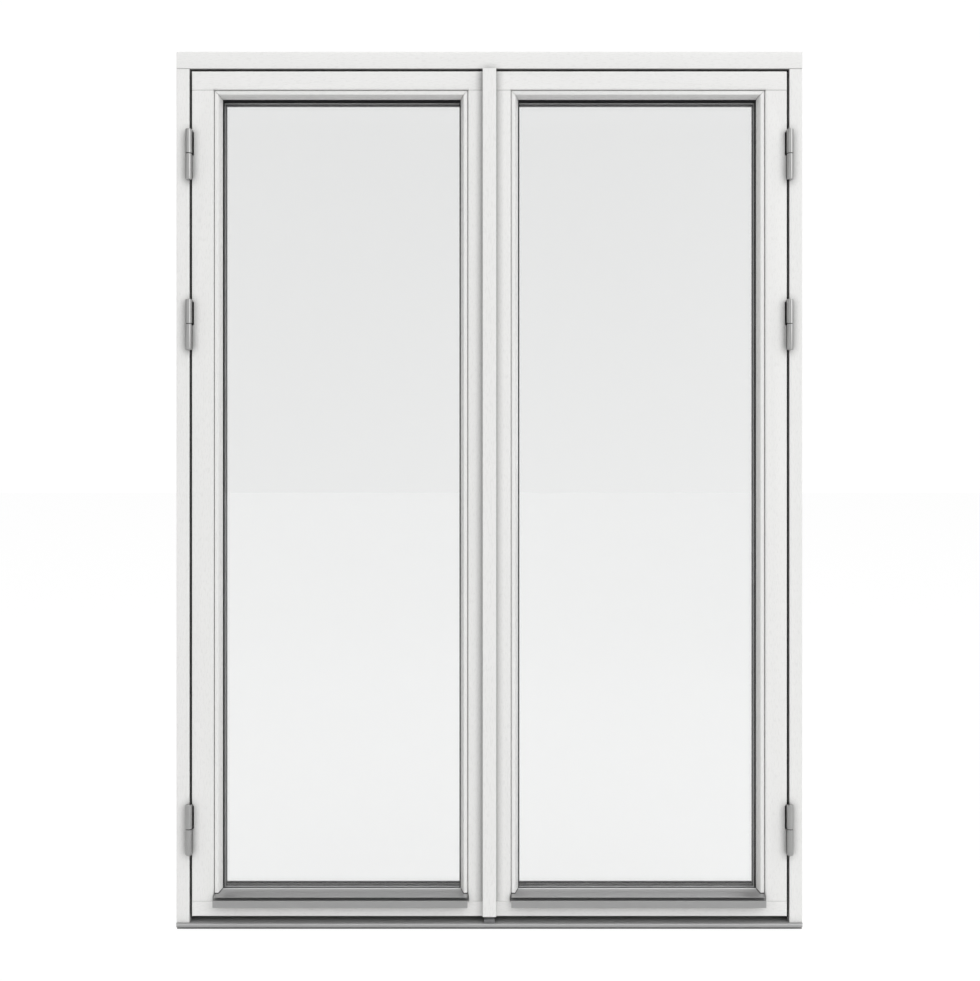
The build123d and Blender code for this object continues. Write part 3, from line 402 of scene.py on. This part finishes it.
# %% Rubber, plastic and spacer
rubber = finish(
    "black rubber", (0.020, 0.020, 0.021), 0.20, 0.62, 0.10, 0.00005, 900.0, (1.0, 1.0, 1.0)
)
grey_plastic = finish(
    "grey moulded plastic", (0.20, 0.20, 0.205), 0.06, 0.48, 0.08, 0.00005, 700.0,
    (1.0, 1.0, 1.0),
)
black_plastic = finish(
    "black moulded plastic", (0.03, 0.03, 0.03), 0.10, 0.50, 0.08, 0.00005, 700.0,
    (1.0, 1.0, 1.0),
)
spacer_grey = finish(
    "matt grey spacer", (0.42, 0.42, 0.42), 0.05, 0.45, 0.06, 0.00003, 800.0, (1.0, 1.0, 1.0)
)
print("others:", [m.name for m in (rubber, grey_plastic, black_plastic, spacer_grey)])

# %% [markdown]
# Float glass is clear, and each face takes a small share of the light. Lamps have to reach what
# lies between and behind the panes, so for the rays that look for lamps the glass is plain
# see-through.

# %% Glass
glass_tint = (0.972, 0.974, 0.973, 1.0)
shadow_tint = (0.955, 0.958, 0.956, 1.0)
refractive_index = 1.50
glass = bpy.data.materials.new("float glass")
glass.use_nodes = True
tree = glass.node_tree
clear = tree.nodes["Principled BSDF"]
clear.inputs["Base Color"].default_value = glass_tint
clear.inputs["Roughness"].default_value = 0.0
clear.inputs["IOR"].default_value = refractive_index
clear.inputs["Transmission Weight"].default_value = 1.0
through = add_node(tree, "ShaderNodeBsdfTransparent", Color=shadow_tint)
path = tree.nodes.new("ShaderNodeLightPath")
choose = tree.nodes.new("ShaderNodeMixShader")
tree.links.new(path.outputs["Is Shadow Ray"], choose.inputs["Fac"])
tree.links.new(clear.outputs[0], choose.inputs[1])
tree.links.new(through.outputs[0], choose.inputs[2])
tree.links.new(choose.outputs[0], tree.nodes["Material Output"].inputs["Surface"])
print("refractive index of the glass:", refractive_index)

# %% [markdown]
# Each of the model's pieces takes its finish by its slot, and painted timber also by the way its
# grain runs. Four kinds of piece differ: the threshold's cover is duller, the hinge washers are
# black, and the beads and the bottom rails have paint with less painted shade in their corners.

# %% Finishes on the model's pieces
finish_of_slot = {
    "painted_timber": paint_upright,
    "sill_timber": sill_wood,
    "aluminium_profile": aluminium,
    "glass": glass,
    "spacer": spacer_grey,
    "black_rubber": rubber,
    "plastic_block": black_plastic,
    "grey_plastic": grey_plastic,
    "zinc_steel": zinc_steel,
    "handle_metal": satin_handle,
}


def finish_of(node):
    """The material of one of the model's pieces. A piece wider than high has its grain across."""
    low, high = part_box(node)
    across = high.x - low.x > high.z - low.z
    if node == "threshold_cover":
        return walked_on
    if node == "hinge_washers":
        return black_plastic
    if "_bead_" in node or "bottom_rail" in node:
        return less_shaded_across if across else less_shaded_upright
    if slot_of_node[node] == "painted_timber" and across:
        return paint_across
    return finish_of_slot[slot_of_node[node]]


for node, piece in frame["nodes"].items():
    piece.data.materials.clear()
    piece.data.materials.append(finish_of(node))
print("finished nodes:", len(frame["nodes"]))

# %% [markdown]
# Real timber has no knife edges: every edge is eased before painting, and where two members meet,
# the two eased edges make the fine line that shows a joint. The model's members have sharp ends
# where they meet, so each painted member is replaced by a copy whose edges are broken by a little
# under a millimetre. The copy is also a hair smaller all round, for the open line between members.

# %% Timber with eased edges
edge_break = 0.0007
hair = 0.0004
sharp_turn = math.radians(40)
flat_turn = math.radians(0.5)
merge_distance = 1e-6


def eased_copy(node, width, gap=0.0):
    """A copy of one of the model's pieces with its sharp edges bevelled by width.

    Its vertices are merged and its flat parts dissolved first, so that the bevel runs cleanly. The
    copy is smaller by gap all round.
    """
    mesh = bpy.data.meshes.new("eased_" + node)
    worker = bmesh.new()
    worker.from_mesh(frame["nodes"][node].data)
    bmesh.ops.remove_doubles(worker, verts=worker.verts, dist=merge_distance)
    bmesh.ops.dissolve_limit(
        worker, angle_limit=flat_turn, verts=worker.verts, edges=worker.edges
    )
    worker.to_mesh(mesh)
    worker.free()
    mesh.materials.append(finish_of(node))
    mesh.shade_smooth()
    mesh.set_sharp_from_angle(angle=sharp_turn)
    piece = bpy.data.objects.new("eased_" + node, mesh)
    bpy.context.scene.collection.objects.link(piece)
    if gap:
        shrink = piece.modifiers.new("open joints", "DISPLACE")
        shrink.strength = -gap
        shrink.mid_level = 0.0
    bevel = piece.modifiers.new("eased edges", "BEVEL")
    bevel.width = width
    bevel.segments = 2
    bevel.limit_method = "ANGLE"
    bevel.angle_limit = sharp_turn
    bevel.harden_normals = True
    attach(piece, body_of_node[node])
    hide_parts(node)


timber_nodes = [n for n, s in slot_of_node.items() if s == "painted_timber"]
for node in timber_nodes:
    eased_copy(node, edge_break, hair)
print("eased members:", len(timber_nodes))

# %% [markdown]
# Metal, plastic and the hardwood sill have eased edges too, only finer: an extrusion comes out of
# its die with tiny radii, and hinge barrels are turned and tumbled.

# %% Metal, plastic and sill with eased edges
finer_breaks = {
    "hinge_sockets_left": 0.0005, "hinge_sockets_right": 0.0005, "active_hinge_knuckles": 0.0005,
    "passive_hinge_knuckles": 0.0005, "active_weather_bar": 0.0003, "passive_weather_bar": 0.0003,
    "threshold_cover": 0.0003, "threshold": 0.0012, "centre_block": 0.0005, "faceplate": 0.0003,
    "handle_rose": 0.0006, "keep_top": 0.0003, "keep_bottom": 0.0003, "strike_plate": 0.0003,
    "flush_bolt_plates": 0.0003,
}
for node, width in finer_breaks.items():
    eased_copy(node, width)
print("eased fittings:", len(finer_breaks))

# %% [markdown]
# Each new piece below is worked out as arrays of points and faces. One helper makes a mesh of such
# arrays: it merges points that fall together and turns the faces outwards. Another puts the mesh in
# the scene, to ride on the same body as the model's piece that it stands for or goes with.

# %% Helpers: a mesh from arrays and a piece in the scene
crease_turn = math.radians(50)
same_point = 1e-7


def surface(name, points, faces, finish_numbers=None):
    """A mesh from arrays of points and four-cornered faces, its faces turned outwards."""
    mesh = bpy.data.meshes.new(name)
    mesh.from_pydata(points.tolist(), [], faces.tolist())
    if finish_numbers:
        mesh.polygons.foreach_set("material_index", finish_numbers)
    worker = bmesh.new()
    worker.from_mesh(mesh)
    bmesh.ops.remove_doubles(worker, verts=worker.verts, dist=same_point)
    bmesh.ops.recalc_face_normals(worker, faces=worker.faces)
    worker.to_mesh(mesh)
    worker.free()
    mesh.shade_smooth()
    mesh.set_sharp_from_angle(angle=crease_turn)
    return mesh


def add_piece(name, mesh, material, like, replace=True):
    """Show a mesh that rides with one of the model's pieces, and unless told not to replaces it."""
    mesh.materials.append(material)
    piece = bpy.data.objects.new(name, mesh)
    bpy.context.scene.collection.objects.link(piece)
    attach(piece, body_of_node[like])
    if replace:
        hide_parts(like)
    return piece


# %% [markdown]
# A gasket or a seal is an extruded strip that runs round an opening and is mitred at its corners.
# Such a ring is a section carried round two nested rectangles: each point of the section lies some
# share of the way from the outer rectangle to the inner one, and some way through the depth.

# %% Helpers: a section carried round a rectangle


def ring(name, outer, inner, depths, section, finish_numbers=None):
    """A mitred ring. finish_numbers is the material number of each side of the section.

    outer and inner are (low x, low z, high x, high z), depths is (front y, back y), and section
    is a closed outline of (share from outer to inner, share from front to back) points. Corner c
    of section point k is outer[c] + share_k (inner[c] - outer[c]).
    """
    section = np.array(section, float)
    pick = np.array([(0, 1), (2, 1), (2, 3), (0, 3)])
    outer_corners = np.array(outer, float)[pick]
    inner_corners = np.array(inner, float)[pick]
    flat = outer_corners[:, None] + section[None, :, :1] * (inner_corners - outer_corners)[:, None]
    depth = depths[0] + section[:, 1] * (depths[1] - depths[0])
    depth = np.broadcast_to(depth, flat.shape[:2])
    points = np.stack([flat[..., 0], depth, flat[..., 1]], axis=-1).reshape(-1, 3)
    count = len(section)
    c, k = np.meshgrid(np.arange(4), np.arange(count), indexing="ij")
    here, there = c * count, (c + 1) % 4 * count
    after = (k + 1) % count
    faces = np.stack([here + k, there + k, there + after, here + after], axis=-1).reshape(-1, 4)
    return surface(name, points, faces, finish_numbers and finish_numbers * 4)


def rectangle_of(node, inset=0.0):
    """(low x, low z, high x, high z) of one of the model's pieces, moved inwards by inset."""
    low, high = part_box(node)
    return (low.x + inset, low.z + inset, high.x - inset, high.z - inset)


# %% [markdown]
# The glass is held between two black gaskets. The outer one shows as a thin black line inside the
# beads, with a rounded lip that leans on the pane. The inner one stands a little proud of the
# timber behind it. Both sections are a flat strip whose inner end is a half round. The seal of the
# frame is broader: a flat foot in the frame with a round bulb that the leaves press on.

# %% Gaskets and seal
turns = np.linspace(-math.pi / 2, math.pi / 2, 9)
lip = [(0.92 + 0.08 * math.cos(t), 0.5 + 0.5 * math.sin(t)) for t in turns]
gasket_section = [(0.0, 1.0), (0.0, 0.0), *lip]
outer_gasket_width = 0.0108
inner_gasket_width = 0.0140
seal_overlap = 0.001

for side in ("active", "passive"):
    for place, width in (("outer", outer_gasket_width), ("inner", inner_gasket_width)):
        node = f"{side}_gasket_{place}"
        low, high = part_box(node)
        mesh = ring(
            f"{side}_{place}_gasket", rectangle_of(node), rectangle_of(node, width),
            (low.y, high.y), gasket_section,
        )
        add_piece(f"{side}_{place}_gasket", mesh, rubber, node)

low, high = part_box("frame_seal")
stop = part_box("jamb_right")[0].x + seal_overlap
stop_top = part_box("head")[0].z + seal_overlap
sill_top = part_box("threshold")[1].z - seal_overlap
bulb = [(0.5 + 0.34 * math.sin(t), 0.42 - 0.42 * math.cos(t)) for t in np.linspace(-1.9, 1.9, 15)]
seal_mesh = ring(
    "weather_seal", (low.x, low.z, high.x, high.z), (-stop, sill_top, stop, stop_top),
    (low.y, high.y), [(0.08, 1.0), (0.08, 0.85), (0.40, 0.72), *bulb, (0.60, 0.72), (0.92, 0.85),
                      (0.92, 1.0)],
)
add_piece("weather_seal", seal_mesh, rubber, "frame_seal")
print("gaskets and seal made")

# %% [markdown]
# Each side bead stands on the sloping weather bar with a black pad under its slanted foot. The
# pad's black is painted shade: it fills the gap under the foot, so that the foot ends in a dark line.
# The pad has the foot's outline, which is wider towards the glass, and fills the gap between two
# parallel slopes.

# %% Pads under the beads' feet
bar_slope = 0.4
pad_height = 0.0033
pad_below_foot = 0.00005
pad_front = 0.0003
pad_back = 0.0162
pad_outer_inset = 0.0004
pad_inner_inset = 0.0007
pad_front_width = 0.0096


def foot_pad(name, bead, outward):
    """A prism with sloping top and bottom: z = z at the bead's front + bar_slope times depth.

    outward is 1 where the bead's outer side faces +X and -1 where it faces -X.
    """
    low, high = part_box(bead)
    outer = high.x if outward > 0 else -low.x
    width = high.x - low.x
    across = np.array(
        [pad_outer_inset, pad_outer_inset, pad_front_width, width - pad_inner_inset]
    )
    depth = np.array([pad_back, pad_front, pad_front, pad_back])
    x = outward * (outer - across)
    top = low.z + bar_slope * depth - pad_below_foot
    corners = np.stack([x, low.y + depth, top], axis=-1)
    points = np.vstack([corners, corners - (0.0, 0.0, pad_height)])
    k = np.arange(4)
    sides = np.stack([k, (k + 1) % 4, (k + 1) % 4 + 4, k + 4], axis=-1)
    return surface(name, points, np.vstack([sides, [k], [k[::-1] + 4]]))


for side, sign in (("active", 1.0), ("passive", -1.0)):
    for place in ("hinge_side", "meeting_side"):
        outward = sign if place == "hinge_side" else -sign
        bead = f"{side}_bead_{place}"
        mesh = foot_pad(f"{bead}_pad", bead, outward)
        add_piece(f"{bead}_foot_pad", mesh, rubber, f"{side}_gasket_outer", replace=False)
print("foot pads made")

# %% [markdown]
# The aluminium cover's drip nose stands proud of the sill. Close behind it, a thin leg of the same
# metal runs down the sill's front to the ground, so that no wood shows below the nose.

# %% Front leg of the threshold cover
leg_thickness = 0.0011
leg_top = 0.0074
leg_end_gap = 0.0004
leg_back_gap = 0.0001
leg_ground_gap = 0.0003
leg_edge_break = 0.0002
sill_low, sill_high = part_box("threshold")
cover_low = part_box("threshold_cover")[0]
x = np.array([sill_low.x + leg_end_gap, sill_high.x - leg_end_gap])
y = sill_low.y - leg_back_gap - np.array([leg_thickness, 0.0])
z = np.array([sill_low.z + leg_ground_gap, cover_low.z + leg_top])
points = np.stack(np.meshgrid(x, y, z, indexing="ij"), axis=-1).reshape(-1, 3)
faces = np.array(
    [(0, 1, 3, 2), (4, 6, 7, 5), (0, 4, 5, 1), (2, 3, 7, 6), (0, 2, 6, 4), (1, 5, 7, 3)]
)
leg = add_piece(
    "cover_front_leg", surface("front_leg", points, faces), walked_on, "threshold_cover",
    replace=False,
)
bevel = leg.modifiers.new("eased edges", "BEVEL")
bevel.width = leg_edge_break
print("front leg at", round(float(y[0]), 4))

# %% [markdown]
# A fin of black rubber is pressed into each jamb and the head a little way in from the front, the
# head's deeper than the jambs'. It is a dark strip put in as painted shade: it makes the gap round
# the leaves read as a dark line, as deep shade does. It stops short of the leaves, and they swing
# away from it.

# %% Dark fins as painted shade in the gap
fin_depth = 0.013
top_fin_depth = 0.021
fin_thickness = 0.002
fin_clearance = 0.0007
fin_bend = 0.0012
front_face, leaf_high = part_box("active_top_rail")
side_gap = 0.005
top_gap = 0.0055


def fin(name, root, run, reach):
    """A strip along run whose section is a curved fin: w(s) = thickness (1 - s / 2), bent back.

    Point s of its front is root + s reach + fin_bend s^2 Y, and its back lies w(s) behind that.
    """
    s = np.linspace(0.0, 1.0, 6)[:, None]
    inward = np.array((0.0, 1.0, 0.0))
    front_side = np.array(root) + s * np.array(reach) + fin_bend * s**2 * inward
    back_side = front_side + fin_thickness * (1.0 - 0.5 * s) * inward
    outline = np.vstack([front_side, back_side[::-1]])
    count = len(outline)
    points = np.vstack([outline, outline + np.array(run)])
    k = np.arange(count)
    sides = np.stack([k, (k + 1) % count, (k + 1) % count + count, k + count], axis=-1)
    k = np.arange(count // 2 - 1)
    end = np.stack([k, k + 1, count - 2 - k, count - 1 - k], axis=-1)
    return surface(name, points, np.vstack([sides, end, end[:, ::-1] + count]))


fin_y = front_face.y + fin_depth
low_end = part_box("threshold_cover")[1].z
fin_length = leaf_high.z + top_gap - low_end
for side, sign in (("right", 1.0), ("left", -1.0)):
    root = (sign * (leaf_high.x + side_gap), fin_y, low_end)
    mesh = fin(f"{side}_fin", root, (0.0, 0.0, fin_length),
               (-sign * (side_gap - fin_clearance), 0.0, 0.0))
    add_piece(f"{side}_shade_fin", mesh, rubber, "frame_seal", replace=False)
top_root = (-leaf_high.x - side_gap, front_face.y + top_fin_depth, leaf_high.z + top_gap)
mesh = fin("top_fin", top_root, (2 * (leaf_high.x + side_gap), 0.0, 0.0),
           (0.0, 0.0, fin_clearance - top_gap))
add_piece("top_shade_fin", mesh, rubber, "frame_seal", replace=False)
print("shade fins at depth", fin_depth)

# %% [markdown]
# A sealed unit has a spacer ring between each two panes, set in from their edges. Its sides against
# the panes and its back are covered in black sealant, and only the side that looks at the middle of
# the glass is bare. On the first ring a thin band of sealant creeps round the front corner. On the
# second ring a black band covers over half of that side, as painted shade where that ring lies
# deeper in shadow.

# %% Spacers with their sealant
spacer_inset = 0.003
spacer_width = 0.0133
pane = 0.004
sealed_sides = [1, 1, 1, 0, 1, 1, 1, 1]
for side in ("active", "passive"):
    low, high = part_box(f"{side}_glass")
    cavity = (high.y - low.y - 3 * pane) / 2
    # The second ring's wide black band on its front is painted shade.
    for number, black_front_share in ((1, 0.08), (2, 0.55)):
        start = low.y + number * pane + (number - 1) * cavity
        section = [(0.0, 0.0), (1.0, 0.0), (1.0, black_front_share), (0.985, black_front_share + 0.02),
                   (0.985, 0.84), (1.0, 0.86), (1.0, 1.0), (0.0, 1.0)]
        mesh = ring(
            f"{side}_spacer_{number}", rectangle_of(f"{side}_glass", spacer_inset),
            rectangle_of(f"{side}_glass", spacer_inset + spacer_width),
            (start, start + cavity), section, sealed_sides,
        )
        piece = add_piece(f"{side}_spacer_{number}", mesh, spacer_grey, f"{side}_spacers")
        piece.data.materials.append(black_plastic)
print("spacers made")

# %% [markdown]
# The hinge screws show when a leaf stands open. Each is a countersunk head with a cross recess. Its
# face is a disc of rings and spokes, pushed in where a point is close to either arm of the cross,
# and the same rings go on down the cone and the shank. The model's own screws tell where the heads
# are: the points that lie in the flag's face bunch up round each head's middle.

# %% Helper: a countersunk screw
head_radius = 0.0042
shank_radius = 0.0020
screw_length = 0.025
arm_width = 0.0011
arm_reach = 0.0023
recess_depth = 0.0014
soft_edge = 0.0003
face_ring_radius = 0.0034
point_starts = 0.92
first_turn = 0.7
turn_between = 1.3


def screw_points(spokes=32):
    """Points of a screw along -Z with its head's face at z = 0, and its four-cornered faces.

    Ring i and spoke j give (r_i cos a_j, r_i sin a_j, z). On the face z = -depth e(w/2 - m)
    e(R - r) with m the smaller of |x| and |y| and e(d) a ramp from 0 to 1 over soft_edge.
    """
    rings_over_recess = np.linspace(0.0, 1.15 * arm_reach, 12)
    face_radii = np.append(rings_over_recess, [face_ring_radius, head_radius])
    radii = np.append(face_radii, [shank_radius, shank_radius, 0.0])
    drops = np.append(
        np.zeros(len(face_radii)),
        [head_radius - shank_radius, point_starts * screw_length, screw_length],
    )
    turns = np.linspace(0.0, 2 * math.pi, spokes, endpoint=False)
    x = radii[:, None] * np.cos(turns)
    y = radii[:, None] * np.sin(turns)
    nearer = np.minimum(abs(x), abs(y))
    in_arm = np.clip((arm_width / 2 - nearer) / soft_edge + 0.5, 0.0, 1.0)
    in_reach = np.clip((arm_reach - radii[:, None]) / soft_edge + 0.5, 0.0, 1.0)
    z = -drops[:, None] - recess_depth * in_arm * in_reach
    points = np.stack([x, y, z], axis=-1).reshape(-1, 3)
    i, j = np.meshgrid(np.arange(len(radii) - 1), np.arange(spokes), indexing="ij")
    here, after = i * spokes + j, i * spokes + (j + 1) % spokes
    faces = np.stack([here, after, after + spokes, here + spokes], axis=-1).reshape(-1, 4)
    return points, faces


def bunches(points, gap=0.008):
    """Middles of the groups that points fall into along Z, a new group after each gap."""
    points = points[np.argsort(points[:, 2])]
    ends = np.flatnonzero(np.diff(points[:, 2]) > gap) + 1
    return [group.mean(axis=0) for group in np.split(points, ends)]


def vertices_of(node):
    """All the vertices of one of the model's pieces, as an array."""
    mesh = frame["nodes"][node].data
    flat = np.empty(3 * len(mesh.vertices))
    mesh.vertices.foreach_get("co", flat)
    return flat.reshape(-1, 3)


def add_screws(name, node, places):
    """One mesh of screws. places holds (middle of the head's face, unit vector out of the face).

    Each screw is turned by turn_between from the one before, because driven screws end up with
    their recesses every way.
    """
    points, faces = screw_points()
    all_points, all_faces = [], []
    for number, (middle, outward) in enumerate(places):
        outward = np.array(outward, float)
        across = np.cross(outward, (0.0, 1.0, 0.0))
        turn = first_turn + turn_between * number
        first = math.cos(turn) * across + math.sin(turn) * np.array((0.0, 1.0, 0.0))
        second = np.cross(outward, first)
        all_points.append(middle + points @ np.stack([first, second, outward]))
        all_faces.append(faces + number * len(points))
    mesh = surface(name, np.concatenate(all_points), np.concatenate(all_faces))
    add_piece(name, mesh, zinc_steel, node)


# %% [markdown]
# A leaf's screws have their faces at its outer edge, the jamb's at the rebate and the keep's two
# underneath the head.

# %% Screws
touching = 0.0001
off_centre = 0.5
for side, sign in (("active", 1.0), ("passive", -1.0)):
    points = vertices_of(f"{side}_hinge_screws")
    edge = abs(points[:, 0]).max()
    heads = bunches(points[abs(points[:, 0]) > edge - touching])
    add_screws(f"{side}_leaf_screws", f"{side}_hinge_screws",
               [(head, (sign, 0.0, 0.0)) for head in heads])

points = vertices_of("frame_screws")
beside = abs(points[:, 0]) > off_centre
rebate = abs(points[beside, 0]).min()
places = []
for sign in (1.0, -1.0):
    heads = bunches(points[abs(points[:, 0] - sign * rebate) < touching])
    places += [(head, (-sign, 0.0, 0.0)) for head in heads]
under = points[~beside]
under = under[under[:, 2] < under[:, 2].min() + touching]
for sign in (1.0, -1.0):
    places.append((under[sign * under[:, 0] > 0].mean(axis=0), (0.0, 0.0, -1.0)))
add_screws("jamb_and_keep_screws", "frame_screws", places)
print("screws in the frame:", len(places))

# %% [markdown]
# The handle is forged: a round neck, a tight bend and a flattened grip that swells in the middle
# and thins to a rounded end. It is a family of ellipses carried along the neck's and the grip's
# middle line. The line runs out of the leaf, turns up through a quarter circle and ends at the
# grip's top.

# %% Handle lever
low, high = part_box("handle_lever")
centre_x = (low.x + high.x) / 2
round_radius = (high.x - low.x) / 2
grip_y = high.y - round_radius
base_y = low.y
base_z = low.z + round_radius
bend = 0.014
neck_share = 0.86
swelling = 0.10
flattening = 0.16
thinning_wide, thinning_deep = 0.10, 0.12
end_length = 0.007
stations = 96
around = 40


def lever_mesh():
    """Ellipses with half axes a(s) along X and b(s) in the plane of the bend, s the length run.

    Ring: line(s) + a cos(t) X + b sin(t) normal(s). Both axes are shares of half the piece's width:
    they start at neck_share, swell, flatten and thin along the grip, and shrink as sqrt(1 - u^2)
    over the rounded end, where the rings lie closer together.
    """
    neck = grip_y - bend - base_y
    arc = bend * math.pi / 2
    grip = high.z - base_z - bend
    total = neck + arc + grip
    s = total * np.sin(np.linspace(0.0, math.pi / 2, stations)) ** 1.2
    along_arc = np.clip((s - neck) / arc, 0.0, 1.0) * math.pi / 2
    past = np.clip(s - neck - arc, 0.0, None)
    y = base_y + np.minimum(s, neck) + bend * np.sin(along_arc)
    z = base_z + bend * (1.0 - np.cos(along_arc)) + past
    normal_y, normal_z = -np.sin(along_arc), np.cos(along_arc)
    share = np.clip(past / grip, 0.0, 1.0)
    swell = np.sin(math.pi * np.clip(share * 1.1, 0.0, 1.0)) ** 2
    flat = np.clip((s - neck) / (arc + 0.01), 0.0, 1.0)
    flat = flat * flat * (3.0 - 2.0 * flat)
    a = round_radius * (neck_share + swelling * swell * flat - thinning_wide * share)
    b = round_radius * (
        neck_share - flattening * flat + swelling * swell * flat - thinning_deep * share
    )
    end = np.clip((s - (total - end_length)) / end_length, 0.0, 1.0)
    rounding = np.sqrt(1.0 - end**2)
    t = np.linspace(0.0, 2 * math.pi, around, endpoint=False)
    a, b = (a * rounding)[:, None], (b * rounding)[:, None]
    points = np.stack(
        [
            centre_x + a * np.cos(t),
            y[:, None] + b * np.sin(t) * normal_y[:, None],
            z[:, None] + b * np.sin(t) * normal_z[:, None],
        ],
        axis=-1,
    ).reshape(-1, 3)
    start = len(points)
    points = np.vstack([points, (centre_x, base_y, base_z)])
    i, j = np.meshgrid(np.arange(stations - 1), np.arange(around), indexing="ij")
    here, after = i * around + j, i * around + (j + 1) % around
    faces = np.stack([here, after, after + around, here + around], axis=-1).reshape(-1, 4)
    j = np.arange(0, around, 2)
    cap = np.stack([np.full(len(j), start), (j + 2) % around, j + 1, j], axis=-1)
    return surface("lever", points, np.vstack([faces, cap]))


add_piece("lever", lever_mesh(), satin_handle, "handle_lever")
print("lever made")
